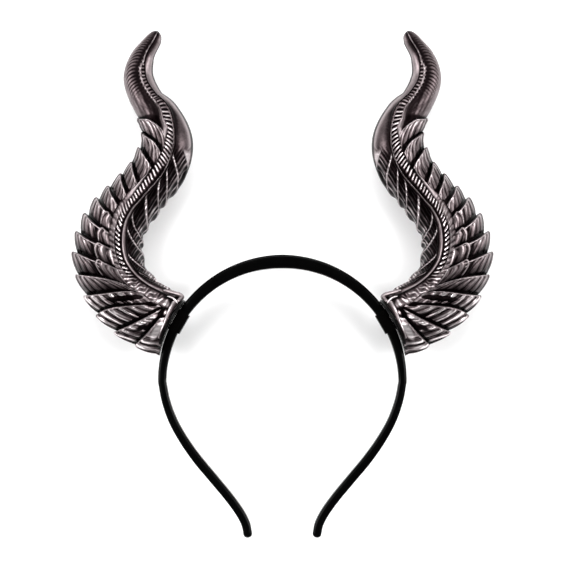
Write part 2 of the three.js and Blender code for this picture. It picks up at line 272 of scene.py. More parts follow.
def unit(vectors):
    return vectors / np.linalg.norm(vectors, axis=-1)[..., None]


def through(points, count):
    """A centripetal curve through points, as count points at even steps between the given ones."""
    points = np.asarray(points, float)
    padded = np.vstack([2 * points[0] - points[1], points, 2 * points[-1] - points[-2]])
    place = np.linspace(0, len(points) - 1, count)
    span = np.minimum(place.astype(int), len(points) - 2)
    u = (place - span)[:, None]
    p0, p1, p2, p3 = (padded[span + k] for k in range(4))
    d0, d1, d2 = (
        np.sqrt(np.linalg.norm(b - a, axis=1))[:, None] for a, b in ((p0, p1), (p1, p2), (p2, p3))
    )
    m1 = ((p1 - p0) / d0 - (p2 - p0) / (d0 + d1) + (p2 - p1) / d1) * d1
    m2 = ((p2 - p1) / d1 - (p3 - p1) / (d1 + d2) + (p3 - p2) / d2) * d1
    return p1 + m1 * u + (3 * (p2 - p1) - 2 * m1 - m2) * u**2 + (2 * (p1 - p2) + m1 + m2) * u**3


def round_steps(count):
    """Even angles once round, without the last."""
    return np.linspace(0, 2 * math.pi, count, endpoint=False)


def lengths_along(points):
    steps = np.linalg.norm(np.diff(points, axis=0), axis=1)
    return np.concatenate([[0], np.cumsum(steps)])


def arc_thickness(angle):
    return mix(SIDE_THICKNESS, CROWN_THICKNESS, angle / (math.pi / 2))


base_half_angle = (HORN_ROWS[0][2] * HORN_WIDTH / 2 + RIM_HEIGHT) / HEAD_RADIUS
PLATE_RADIUS = HEAD_RADIUS + arc_thickness(MOUNT_ANGLE + base_half_angle) / 2 + GAP
BASE_RADIUS = PLATE_RADIUS + PLATE_THICKNESS + GAP
BASE_DIRECTION = np.array([math.cos(MOUNT_ANGLE), math.sin(MOUNT_ANGLE), 0])

CURVE_SAMPLES = 1400


def edge_of(share, across):
    """Where the core's own side ends, as a share of half width: its inner or its outer side."""
    inner, outer = columns_at(EDGE_ROWS, share)
    return np.where(across < 0, inner, outer)


class Horn:
    """The right horn's middle line and girth, read at any share of its length."""

    def __init__(self):
        rows = np.array(HORN_ROWS)
        out, up, width, depth, back, spine = rows.T
        line = np.column_stack([out * HORN_SWING, up * HORN_RISE, -back * HORN_LEAN])
        self.middle = through(line + BASE_DIRECTION * BASE_RADIUS, CURVE_SAMPLES)
        girth = np.column_stack([width * HORN_WIDTH / 2, depth * HORN_DEPTH / 2, spine])
        self.girth = through(girth, CURVE_SAMPLES)
        along = lengths_along(self.middle)
        self.length = along[-1]
        self.shares = along / self.length
        tangent = np.gradient(self.middle, axis=0)
        tangent[:, 2] = 0
        self.tangent = unit(tangent)
        self.tangent[0] = BASE_DIRECTION

    def read(self, share):
        """Middle, outward direction, half width and half depth at each share."""
        share = np.asarray(share, float)
        inside = np.clip(share, 0, 1)

        def columns(table):
            return np.stack([np.interp(inside, self.shares, column) for column in table.T], -1)

        middle, tangent = columns(self.middle), columns(self.tangent)
        middle = middle + tangent * (np.minimum(share, 0) * self.length)[..., None]
        outward = np.stack([tangent[..., 1], -tangent[..., 0], 0 * share], -1)
        fuller = TIP_FULLNESS * smooth(inside, 0.93, 0.995)
        girth = columns(self.girth)
        width, depth = girth[..., 0] + fuller, girth[..., 1] + fuller
        end = np.sqrt(1 - np.clip((share - (1 - TIP_ROUNDING)) / TIP_ROUNDING, 0, 1) ** 2)
        return middle, outward, width * end, depth * end

    def place(self, share, across, front):
        """Points at a place across the horn, from -1 to 1, and a height in mm above its middle plane."""
        share, across, front = np.broadcast_arrays(share, across, front)
        middle, outward, width, _ = self.read(share)
        points = middle + outward * (across * width)[..., None]
        points[..., 2] += front
        # The base ends on a round surface that follows the band.
        offset = across * width
        sunk = np.sqrt(np.maximum(BASE_RADIUS**2 - offset**2, 0)) - BASE_RADIUS
        near = np.clip(1 - share / 0.09, 0, 1)
        return points + BASE_DIRECTION * (sunk * near)[..., None]

    def bare_height(self, share, across):
        depth = self.read(share)[3]
        return depth * np.sqrt(np.maximum(0, 1 - (across / edge_of(share, across)) ** 2))


HORN = Horn()


def normals_of(points, wrap):
    """Unit normals of a grid of points, by its own differences."""
    if wrap:
        sideways = np.roll(points, -1, 1) - np.roll(points, 1, 1)
    else:
        sideways = np.gradient(points, axis=1)
    lengthways = np.gradient(points, axis=0)
    normal = np.cross(sideways, lengthways)
    size = np.linalg.norm(normal, axis=2)
    return normal / np.maximum(size, 1e-9)[..., None]


class Skin:
    """Grids of points gathered into one mesh, with their wear and painted light: 0 in a dark hollow, 1 on an
    edge. The dark is partly antiquing and partly painted shade, the bright partly wear and partly painted
    highlight.
    """

    def __init__(self):
        self.points = []
        self.wear_and_painted_light = []
        self.marks = []
        self.faces = []
        self.count = 0

    def add(self, points, wear_and_painted_light, closed=True, marks=None):
        """Adds a grid whose columns run once round, closed at both ends or open."""
        rows, columns = points.shape[:2]
        index = self.count + np.arange(rows * columns).reshape(rows, columns)
        right = np.roll(index, -1, 1)
        quads = np.stack([index[:-1], right[:-1], right[1:], index[1:]], -1).reshape(-1, 4)
        self.faces.append(quads)
        if closed:
            # Opposite columns of the first and of the last ring are joined across.
            half = columns // 2
            for ring, turn in ((index[0], -1), (index[-1], 1)):
                a, b = ring[:half], ring[::-1][:half]
                strip = np.stack([a[:-1], a[1:], b[1:], b[:-1]], -1)
                self.faces.append(strip[:, ::turn])
        self.points.append(points.reshape(-1, 3))
        self.wear_and_painted_light.append(np.broadcast_to(wear_and_painted_light, points.shape[:2]).reshape(-1))
        self.marks.append(np.zeros((rows * columns, 3)) if marks is None else marks.reshape(-1, 3))
        self.count += rows * columns

    def piece(self, name, side, material):
        """The mesh as an object, on the right side (1) or mirrored to the left (-1)."""
        points = levelled(np.concatenate(self.points)) * [side, 1, 1]
        points = points * MM + HEAD_MIDDLE
        faces = np.concatenate(self.faces)
        if side < 0:
            faces = faces[:, ::-1]
        fields = {"wear_and_painted_light": np.concatenate(self.wear_and_painted_light)}
        fields.update(zip(("hatch", "mark_depth", "scale"), np.concatenate(self.marks).T))
        return make_piece(name, points, faces, fields, material)


PRESSED_DEPTH = 0.8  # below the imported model's front, where forms begin to be pressed flat


def plain_skin(points, closed=True):
    """A skin of one grid with an even value of wear and painted light."""
    skin = Skin()
    skin.add(points, 0.5, closed)
    return skin


def levelled(points):
    """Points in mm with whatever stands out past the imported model's front or back pressed softly flat."""
    height = np.abs(points[..., 2])
    low = FRONT_LIMIT - PRESSED_DEPTH
    pressed = low + PRESSED_DEPTH * np.tanh((height - low) / PRESSED_DEPTH)
    level = points.copy()
    level[..., 2] = np.sign(points[..., 2]) * np.where(height > low, pressed, height)
    return level


def add_object(name, data):
    thing = bpy.data.objects.new(name, data)
    bpy.context.scene.collection.objects.link(thing)
    return thing


def make_piece(name, points, faces, fields, material):
    """A mesh of four-sided faces, with a value at each point for every named field."""
    mesh = bpy.data.meshes.new(name)
    mesh.vertices.add(len(points))
    mesh.vertices.foreach_set("co", points.astype(np.float32).ravel())
    mesh.loops.add(faces.size)
    mesh.loops.foreach_set("vertex_index", faces.astype(np.int32).ravel())
    mesh.polygons.add(len(faces))
    mesh.polygons.foreach_set("loop_start", np.arange(0, faces.size, 4, dtype=np.int32))
    mesh.polygons.foreach_set("use_smooth", np.ones(len(faces), bool))
    mesh.update(calc_edges=True)
    mesh.validate()
    for field, values in fields.items():
        layer = mesh.attributes.new(field, "FLOAT", "POINT")
        layer.data.foreach_set("value", values.astype(np.float32))
    mesh.materials.append(material)
    piece = add_object(name, mesh)
    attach(piece, "root")
    return piece


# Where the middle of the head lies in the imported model, in metres
band_low, band_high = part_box("headband")
HEAD_MIDDLE = np.array([0, band_high[1] - CROWN_OUTSIDE * MM, (band_low[2] + band_high[2]) / 2])
FRONT_LIMIT = HEAD_MIDDLE[2] / MM  # mm from the middle plane to the surface that the object lies on


def spots(points, lift, wear_and_painted_light):
    """Lift and tone with the hollows and patches added, from where the points lie: painted shade in the
    hollows, painted highlights on the patches.
    """
    for x, y, long, wide, angle, rise, shade in SPOT_ROWS:
        turn = math.radians(angle)
        dx, dy = points[..., 0] - x, points[..., 1] - y
        along = (dx * math.cos(turn) + dy * math.sin(turn)) / long
        aside = (dy * math.cos(turn) - dx * math.sin(turn)) / wide
        reach = 1 - smooth(np.hypot(along, aside), 0.55, 1.15)
        lift = lift + rise * reach
        wear_and_painted_light = mix(wear_and_painted_light, shade, 0.9 * reach)
    return lift, wear_and_painted_light


def ripple(a, b, seed=0.0):
    """A slow uneven wave between 0 and 1, so that no two strands are alike."""
    wave = np.sin(a * 1.31 + seed) * np.sin(b * 1.73 - seed * 0.7) + np.sin(a * 2.9 - b * 1.1 + seed * 1.3)
    return 0.5 + 0.25 * wave


# Horn core: inner face with its scales, ribbed spine front and back, and the smooth upper part

CORE_ROWS = 540
INNER_COLUMNS = 94
STRIP_COLUMNS = 25
OUTER_COLUMNS = 34
RIB_PITCH = 2.2
LOWER_RIB_PITCH = 3.1
LOWER_RIBS = 0.37  # share of the horn's length up to which the ribs are further apart
RIB_HEIGHT = 0.9
RAIL_HEIGHT = 1.1
OUTER_RAIL_HEIGHT = 1.3
SCALE_RIDGE = 0.8
SCALE_BODY = 0.6
SCALE_LENGTH = 7.0  # about what lies between two edges of scales
HATCH_PITCH = 1.75
HATCH_ANGLE = math.radians(121)  # from the wearer's left, turning up
HATCH_DEPTH = 0.35
GRAIN_DEPTH = 0.05
GROOVE_PITCH = 1.75
GROOVE_DEPTH = 0.34
RING_BOW = 5.5  # how far the middle of a ring bows to the base
LOBE_HEIGHT = 1.5


def scale_phase(share, inward):
    """Counts the scales: whole numbers on their edges. inward is 0 at the rail and 1 at the inner edge."""
    rows = np.array(SCALE_ROWS)
    bow = inward**0.72
    phase = np.zeros(np.broadcast(share, inward).shape)
    for step in range(len(rows) - 1):
        low = mix(rows[step, 0], rows[step, 1], bow)
        high = mix(rows[step + 1, 0], rows[step + 1, 1], bow)
        phase = phase + np.clip((share - low) / (high - low), 0, 1)
    return phase


def scaled_part(share, inward):
    """1 where the inner face has scales. Further up, the smooth face begins at the inner edge."""
    return (1 - smooth(share, 0.6, 0.64)) * (1 - smooth(share, 0.5, 0.57) * smooth(inward, 0.7, 0.86))


def inner_relief(share, inward, distance, to_rim):
    """Lift and tone of the inner face, wear mixed with painted light. distance is in mm from the rail,
    to_rim in radians from the edge.
    """
    phase = scale_phase(share, inward)
    part = phase - np.floor(phase)
    to_edge = np.minimum(part, 1 - part) * SCALE_LENGTH
    scaled = scaled_part(share, inward) * smooth(distance, 0.3, 1.0)
    edge = bell(to_edge, 0.8)
    body = np.sin(math.pi * part) ** 0.7 - 0.7 * smooth(part, 0.5, 1.0)
    lift = scaled * (SCALE_RIDGE * edge + SCALE_BODY * mix(0.7, 2.2, smooth(inward, 0.4, 0.9)) * body)
    plates = mix(0.05, 0.44, smooth(inward, 0.08, 0.65))
    plates = plates * mix(0.5, 1.2, ripple(share * 60, inward * 5)) * (1 - 0.5 * edge)
    at_base = 1 - smooth(share, 0.05, 0.14)
    plates = np.maximum(plates * mix(1.9, 1, smooth(share, 0.1, 0.2)), 0.3 * at_base)
    # Above the scales the face is smooth: painted shade along the rail and a painted sheen towards the inner
    # edge.
    lean = smooth(share, 0.62, 0.8)
    sheen = 0.14 + 0.2 * smooth(distance, 1.0, 4.0) * (1 - 0.5 * lean)
    reach = mix(0.42, 0.75, smooth(share, 0.7, 0.8)) + 0.35 * bell(share - 0.83, 0.07)
    sheen = sheen + 0.34 * (1 - smooth(to_rim, reach, reach + 0.33)) * (1 - 0.55 * bell(share - 0.57, 0.04))
    # Painted shade darkens the sunken gutter beside the rail.
    gutter = smooth(distance, 0.25, 1.0)
    wear_and_painted_light = mix(sheen, plates, scaled) * gutter
    # Painted shade gives the smooth part of the face a dark outline along its edge.
    wear_and_painted_light = wear_and_painted_light * np.maximum(smooth(to_rim, 0.3, 0.44), scaled * smooth(0.6 - share, 0, 0.1))
    lift = lift - 0.4 * (1 - gutter)
    return lift, wear_and_painted_light


def inner_marks(share, inward, distance, points):
    """The fine marks on the scales: the count of strokes, how deep all marks are, the count of scales."""
    run = points[..., 0] * math.sin(HATCH_ANGLE) - points[..., 1] * math.cos(HATCH_ANGLE)
    run = run + 0.25 * np.sin(points[..., 0] * 1.7 + points[..., 1] * 0.9)
    phase = scale_phase(share, inward)
    depth = scaled_part(share, inward) * smooth(distance, 0.2, 0.9) * (1 - 0.5 * smooth(inward, 0.8, 0.95))
    depth = depth * mix(0.4, 1, smooth(share, 0.14, 0.24)) * smooth(share, 0.02, 0.05)
    return np.stack(np.broadcast_arrays(run / HATCH_PITCH, depth, phase), -1)


def strip_relief(share, aside, width):
    """Lift and tone of the ribbed spine, wear mixed with painted light. aside is the distance from its foot
    as a share of half width.
    """
    _, rail_end, rib_end, end, lean = columns_at(SPINE_ROWS, share)
    rail_part = aside / rail_end
    upper = smooth(share, 0.7, 0.76)
    rail = between(rail_part, -0.1, 0.4, 0.7, 1.05) * (1 - upper)
    out = np.clip((aside - rail_end) / np.maximum(rib_end - rail_end, 1e-3), 0, 1.6)
    beyond = np.clip((aside - rib_end) / (end - rib_end), -1, 1)
    railed = between(share, 0.4, 0.46, 0.72, 0.8)
    outer_rail = smooth(beyond, -0.25, 0.15) * railed
    travel = (aside - rail_end) * width
    run = np.minimum(share, LOWER_RIBS) / LOWER_RIB_PITCH + np.maximum(share - LOWER_RIBS, 0) / RIB_PITCH
    turn = run * HORN.length - lean * travel / RIB_PITCH
    turn = turn + 0.16 * np.sin(share * 41) + 0.06 * np.sin(share * 97)
    turn = turn + 0.35 * (1 - smooth(share, 0.12, 0.2)) * np.sin(share * 160 + 3 * out)
    rib = np.clip(0.42 + 0.85 * np.cos(2 * math.pi * turn), 0, 1)
    uneven = ripple(share * 130, out * 2.5)
    joined = smooth(share, 0.56, 0.6)
    ribbed = smooth(out, mix(0.16, -0.2, joined), mix(0.42, 0.05, joined)) * (1 - outer_rail)
    ribbed = ribbed * between(share, 0.03, 0.08, 0.9, 0.95)
    fine = 1 - 0.55 * smooth(share, 0.76, 0.86)
    lift = RAIL_HEIGHT * rail + OUTER_RAIL_HEIGHT * outer_rail * (1 - 0.55 * smooth(beyond, 0.5, 1.0))
    lift = lift + ribbed * (RIB_HEIGHT * fine * rib * mix(0.7, 1.2, uneven)) + 0.35 * smooth(out, 0.2, 0.8)
    strength = mix(mix(0.4, 0.9, uneven), 1, smooth(share, 0.14, 0.22))
    strength = strength * mix(0.85, 1, bell(out - 0.65, 0.3))
    ground = 0.42 * (1 - smooth(share, 0.12, 0.19))
    ribs = ribbed * strength * mix(ground, mix(0.6, 1.2, uneven), rib)
    roots = smooth(beyond, -0.6, 0.3) * (1 - railed) * (1 - smooth(share, 0.68, 0.75))
    ribs = np.maximum(ribs, roots * mix(0.45, 1.1, uneven) * mix(0.5, 1, rib))
    # Lower down the ribs are short beads. Beyond them come a dark gap, a bright line and grey feather roots.
    beaded = between(share, 0.17, 0.23, 0.36, 0.41)
    beads = 1.25 * rib * between(out, 0.22, 0.34, 0.78, 0.9)
    roots = mix(0.34, 0.72, uneven) * smooth(out, 1.15, 1.3)
    beads = np.maximum(beads, bell(out - 1.14, 0.15) * mix(0.7, 1.2, uneven) * mix(0.7, 1, rib))
    ribs = mix(ribs, np.maximum(beads, roots), beaded)
    rail_tone = mix(0.5, 0.76, smooth(share, 0.3, 0.58)) + 0.12 * (1 - smooth(share, 0.1, 0.2))
    wear_and_painted_light = np.maximum(rail * rail_tone, ribs * mix(1, 0.6, upper))
    wear_and_painted_light = np.maximum(wear_and_painted_light, outer_rail * mix(0.5, 0.62, bell(beyond - 0.6, 0.3)))
    # On the upper horn one bright line runs along the ribs' outer ends.
    line = upper * between(beyond, -0.4, 0.1, 0.75, 1.0)
    lift = lift + 0.55 * RAIL_HEIGHT * line
    wear_and_painted_light = np.maximum(wear_and_painted_light, line * mix(0.38, 0.78, uneven))
    return lift, np.maximum(wear_and_painted_light, 0.02)


def outer_relief(share, outward):
    """Lift and tone of the outer face, wear mixed with painted light. outward is 0 at the spine and 1 at the
    outer edge.
    """
    bowed = share * HORN.length - RING_BOW * (1 - np.clip(outward / 0.78, 0, 1) ** 2.4)
    bowed = bowed + 0.35 * np.sin(share * 53)
    ring = (0.5 + 0.5 * np.cos(2 * math.pi * bowed / GROOVE_PITCH)) ** 0.8
    inside = between(outward, 0.05, 0.2, 0.48, 0.7)
    ringed = between(share, 0.79, 0.83, 0.95, 0.985) * inside
    flow = (0.5 + 0.5 * np.cos(2 * math.pi * (outward * 6.5 + 0.9 * np.sin(share * 15 + 1.0)))) ** 2
    flowing = between(share, 0.67, 0.72, 0.79, 0.84) * inside
    lift = -GROOVE_DEPTH * (1 - ring) * ringed - 0.25 * (1 - flow) * flowing
    wear_and_painted_light = mix(0.13, 0.34, smooth(outward, 0.1, 0.45)) + 0.14 * smooth(outward, 0.45, 0.65)
    wear_and_painted_light = wear_and_painted_light * mix(1, mix(0.35, 1.45, ring), ringed) * mix(1, mix(0.6, 1.3, flow), flowing)
    # Painted shade darkens the face next to the spine and along its outer edge.
    wear_and_painted_light = wear_and_painted_light * mix(0.3, 1, smooth(outward, 0.0, 0.08)) * mix(1, 0.25, smooth(outward, 0.92, 0.98))
    # A painted shadow follows the raised edge of the uppermost leaf, and all below it is painted dark.
    _, start, _, reach, _ = FEATHER_ROWS[0]
    out = np.clip((1 - 0.75 * (1 - outward)) * (reach - start) / reach, 0, 1)
    above = (share - edge_share(0, FEATHER_ROWS[0], out)) * HORN.length
    wear_and_painted_light = wear_and_painted_light * (1 - 0.92 * bell(above - 0.7, 1.1)) * smooth(above, -0.4, 0.3)
    return lift, wear_and_painted_light


def core_skin():
    """The horn's body: its inner face, the spine front and back, and its outer face."""
    share = np.linspace(0, 1, CORE_ROWS)[:, None]
    _, _, width, depth = HORN.read(share)
    spine, rail_end, rib_end, end, _ = columns_at(SPINE_ROWS, share)

    def angle_of(across):
        return np.arccos(np.clip(-across / edge_of(share, across), -1, 1))

    foot_in, foot_out = angle_of(spine), angle_of(spine + end)
    inner = np.linspace(1, -1, INNER_COLUMNS, endpoint=False)[None, :]
    outer = np.linspace(-1, 1, OUTER_COLUMNS, endpoint=False)[None, :]
    step = np.linspace(0, 1, STRIP_COLUMNS, endpoint=False)
    # A quarter of the strip's columns lie on the rail, and a fifth on the outer rail.
    knots = [0, 0.26, 0.8, 1]
    reach = np.hstack([0 * end, rail_end, rib_end, end])
    strip = np.array([np.interp(step, knots, row) for row in reach])
    back_strip = np.array([np.interp(1 - step, knots, row) for row in reach])
    # Angles run from the front foot over the inner edge (0) to the back, and on over the outer edge (pi).
    distance = foot_in * (1 - np.abs(inner)) * width * 0.95
    parts = [
        (foot_in * inner, *inner_relief(share, 1 - np.abs(inner), distance, foot_in * np.abs(inner))),
        (-angle_of(spine + strip), *strip_relief(share, strip, width)),
        (
            np.where(outer < 0, -1, 1) * mix(math.pi, foot_out, np.abs(outer)),
            *outer_relief(share, 1 - np.abs(outer)),
        ),
        (angle_of(spine + back_strip), *strip_relief(share, back_strip, width)),
    ]
    angle, lift, wear_and_painted_light = (
        np.hstack([np.broadcast_to(part[k], (CORE_ROWS, part[0].shape[1])) for part in parts])
        for k in range(3)
    )
    across = -np.cos(angle)
    across = across * edge_of(share, across)
    points = HORN.place(share, across, depth * np.sin(angle))
    marks = np.zeros((*angle.shape, 3))
    marks[:, :INNER_COLUMNS] = inner_marks(share, 1 - np.abs(inner), distance, points[:, :INNER_COLUMNS])
    # The rail ends in a round lobe at the inner corner of the base.
    lobe = bell((share - 0.016) * HORN.length, 2.6) * bell(across + 0.97, 0.13)
    lift, wear_and_painted_light = lift + LOBE_HEIGHT * lobe, np.maximum(wear_and_painted_light, 0.85 * lobe)
    lift, wear_and_painted_light = spots(points, lift, wear_and_painted_light)
    fade = np.minimum(1, width / (SPINE_FADE * HORN_WIDTH)) * smooth(share, 0, 0.012)
    points = points + normals_of(points, wrap=True) * (lift * fade)[..., None]
    skin = Skin()
    skin.add(points[:, ::-1], wear_and_painted_light[:, ::-1], marks=marks[:, ::-1])
    return skin


# Feathers: each is one closed leaf that wraps the outer flank, with barbs and a raised edge

LEAF_ROWS = 96
LEAF_COLUMNS = 27
LEAF_COVER = 1.3  # how far a leaf reaches below the next one's raised edge
LEAF_RELIEF = 1.7
LEAF_EDGE = 0.9  # half the thickness of a leaf at its outer edge
LEAF_TIP_RADIUS = 1.1
COVERT_TIP_RADIUS = 3.6
COVERT_RAISE = 0.7
FAN_START = 11  # the leaves from this one on form the coarser fan at the base
COVERTS = {6: 0.42, 7: 0.4, 8: 0.46, 9: 0.48}  # the leaves with a covering leaf, and its length as a share
# How far the raised edge of a leaf swells to the horn's tip, as a share of the horn's length, and the power
# that moves the swell to the root when it is below 1
SWELLS = {
    0: (0.018, 0.8),
    9: (0.009, 1.0),
    10: (0.031, 0.65),
    11: (0.035, 0.55),
    12: (0.028, 1.05),
    13: (0.006, 0.7),
}


def edge_share(number, row, out):
    """Where a leaf's raised edge lies along the horn, for out from its root (0) to its tip (1)."""
    swell, power = SWELLS.get(number, (0, 1))
    return mix(row[0], row[2], out) + swell * np.sin(math.pi * np.clip(out, 0, 1) ** power)


def barbs(number, v, edge, rim, width, seed):
    """The barbs' ridges from 0 to 1, how strong they are there, and a slow uneven wave."""
    # Barbs run beside the outer rim and draw together at the tip. In the fan they are arcs round the rim's
    # end, and the last leaf is smooth along the collar.
    if number >= FAN_START:
        pitch, sharpness = 5.4, 1.4
        smooth_up_to = 0.5 if number == len(FEATHER_ROWS) - 1 else 0.12
        fading = mix(0.2, 1, smooth(v, smooth_up_to, smooth_up_to + 0.25))
        drawn = np.hypot(rim, 0.55 * np.maximum(width - edge, 0))
    else:
        pitch, sharpness = mix(4.6, 5.2, smooth(number, 3, 7)), 0.8
        fading = 1
        drawn = rim * (1 + 0.45 * np.exp(-edge / 3.5)) + 0.5 * np.sin(edge * 0.35 + seed)
    drawn = drawn + 0.35 * np.sin(rim * 0.8 + seed) + 0.2 * np.sin(rim * 1.9 - edge * 0.3 + seed * 2)
    barb = (0.5 + 0.5 * np.cos(2 * math.pi * (drawn / pitch - 0.2))) ** sharpness
    uneven = ripple(rim * 0.9, edge * 0.5, seed)
    barbed = smooth(rim, 0.8, 1.6) * smooth(edge, 0.5, 1.3) * mix(0.35, 1.1, smooth(uneven, 0.25, 0.6))
    return barb, barbed * fading, uneven


def leaf_skin(skin, number, row, below, length=1.0, raised=0.0):
    """One leaf, front and back. length below 1 makes the short covering leaf over its root."""
    _, start, tip, reach, hem = row
    _, start_below, tip_below, _, _ = below
    covert = length < 1
    v = 1 - (1 - np.linspace(0, 1, LEAF_ROWS)[:, None]) ** 1.15
    t = np.linspace(0, 1, LEAF_COLUMNS)[None, :] ** 1.35
    q = t * LEAF_COVER  # 0 on this leaf's raised edge, 1 below the next one's
    tip_width = HORN.read(tip)[2]
    from_tip = t * (tip - tip_below) * LEAF_COVER * HORN.length
    tip_radius = COVERT_TIP_RADIUS if covert else LEAF_TIP_RADIUS
    corner = np.clip(1 - from_tip / tip_radius, 0, 1)
    pull = tip_radius * (1 - np.sqrt(1 - corner**2)) / (tip_width * length)
    edge_reach = mix(reach, hem, t) + 0.02 * np.sin(math.pi * np.minimum(q, 1)) - pull
    out = v * length * (1 - (0.12 * t if covert else 0))
    share = mix(edge_share(number, row, out), edge_share(number + 1, below, out), q)
    start_here = mix(start, start_below, t)
    across = mix(start_here, edge_reach, out)
    middle, _, _, depth = HORN.read(share)
    flank = np.clip(across / (edge_reach + pull + 0.02), -1, 1)
    hump = depth * (1 - flank**2) ** 0.6
    height = np.maximum(hump, HORN.bare_height(share, across))
    flat = HORN.place(share, across, height)
    sideways = np.linalg.norm(np.diff(flat, axis=1), axis=2)
    lengthways = np.linalg.norm(np.diff(flat, axis=0), axis=2)
    edge = np.hstack([np.zeros((LEAF_ROWS, 1)), np.cumsum(sideways, axis=1)])
    rim = np.vstack([np.cumsum(lengthways[::-1], axis=0)[::-1], np.zeros((1, LEAF_COLUMNS))])

    fan, last = number >= FAN_START, number == len(FEATHER_ROWS) - 1
    depth_of_barb = 1.1 if fan else 0.5
    low, high = (0.2, 2.3) if fan else (0.3, 1.2)
    width = edge[:, [int(np.argmin(np.abs(q - 1)))]]
    barb, barbed, uneven = barbs(number, v, edge, rim, width, number * 1.7 + raised * 5)
    # A crevice runs below the next leaf's raised edge, painted black as the shadow that edge casts.
    lower_down = smooth(number, 4, 8)
    crevice = np.minimum(mix(1.7, 1.2, lower_down), mix(0.36, 0.26, lower_down) * width)
    crevice = crevice + 0.7 * bell(v - 0.08, 0.12) * (1 - lower_down)
    covered = 0 if last else 1 - smooth((width - edge) / np.maximum(crevice, 1e-3), 0.75, 1.1)
    bead = bell(edge - 0.7, 0.42)
    band = (1 - smooth(rim, 0.9, 1.45)) * smooth(edge, 0.2, 0.7)

    slope = mix(1, 0.22, np.minimum(q, 1) ** 0.9)
    lift = raised + LEAF_RELIEF * mix(0.3, 1, smooth(v, 0, 0.3)) * slope * mix(1, 0.6, v**4)
    lift = lift + 0.25 * bead + 0.2 * band - 0.7 * covered
    lift = lift - depth_of_barb * (1 - barb) * barbed
    lift = lift * mix(0.05, 1, smooth(edge, 0.0, 0.35)) - 0.25 * (1 - smooth(edge, 0, 0.3))

    # The tone falls from this leaf's raised edge towards the next leaf.
    far_tone = 0.32 if fan else mix(0.34, 0.2, lower_down)
    wear_and_painted_light = mix(0.6, far_tone, smooth(q, 0.05, 0.9)) * mix(0.75, 1.15, uneven)
    wear_and_painted_light = wear_and_painted_light * mix(1, mix(low, high, barb), barbed)
    # Painted shade draws a dark line just inside the bright rim.
    wear_and_painted_light = wear_and_painted_light * (1 - 0.7 * bell(rim - 2.0, 0.45) * smooth(edge, 0.8, 1.6))
    # A painted shadow of the covering leaf falls just past its edge.
    if not covert and number in COVERTS:
        past = v - COVERTS[number] * (1 - 0.12 * t)
        wear_and_painted_light = wear_and_painted_light * (1 - 0.95 * bell(past - 0.015, 0.05))
    # Painted highlights brighten the rim band and the raised bead.
    wear_and_painted_light = np.maximum(wear_and_painted_light, (0.64 if covert else 0.82) * band)
    at_root = 0 if fan else 1 - smooth(v, 0.02, 0.15)
    wear_and_painted_light = np.maximum(wear_and_painted_light, (0.7 if covert else 1) * mix(0.62, 0.88, uneven) * bead * (1 - at_root))
    # The root is painted bright where it leaves the spine, a painted highlight.
    root_highlight = (1 - smooth(v, 0.02, 0.34 if fan else 0.2)) * 0.7 * smooth(number, 4, 7)
    wear_and_painted_light = mix(wear_and_painted_light, 0.8 * mix(0.3, 1.1, barb) * mix(0.6, 1.1, uneven), root_highlight)
    # Painted shade darkens the leaf's edges and the crevice under the next leaf.
    wear_and_painted_light = wear_and_painted_light * smooth(edge, 0.1, 0.5) * (1 - covered) * smooth(rim, 0.0, 0.22)

    lift, wear_and_painted_light = spots(flat, lift, wear_and_painted_light)
    normal = normals_of(flat, wrap=False)
    upright = smooth(v, 0.55, 0.95)
    direction = unit(mix(normal, np.array([0, 0, 1.0]), upright[..., None] + 0 * normal))
    points = flat + direction * lift[..., None]
    rounding = np.sqrt(1 - np.clip(1 - rim / (0.75 if covert else 0.55), 0, 1) ** 2)
    if covert:
        points[..., 2] -= (1 - rounding) * (raised + 0.6)
    else:
        standing = points[..., 2] - middle[..., 2]
        edge_height = np.maximum(standing, LEAF_EDGE * smooth(v, 0.3, 0.9)) * mix(0.1, 1, rounding)
        points[..., 2] = middle[..., 2] + edge_height
    points[..., 2] = np.maximum(points[..., 2], middle[..., 2] + 0.03)
    back = points.copy()
    back[..., 2] = 2 * middle[..., 2] - points[..., 2]
    ring = np.hstack([points, back[:, ::-1]])
    skin.add(ring, np.hstack([wear_and_painted_light, wear_and_painted_light[:, ::-1]]))


def feather_skins():
    """All leaves of one horn, and the short leaves that cover their roots."""
    leaves, coverts = Skin(), Skin()
    rows = list(FEATHER_ROWS)
    last = rows[-1]
    rows.append((0.0, last[1], last[2] - (rows[-2][2] - last[2]), last[3], last[4]))
    for number, (row, below) in enumerate(zip(rows, rows[1:])):
        leaf_skin(leaves, number, row, below)
        if number in COVERTS:
            leaf_skin(coverts, number, row, below, length=COVERTS[number], raised=COVERT_RAISE)
    return leaves, coverts


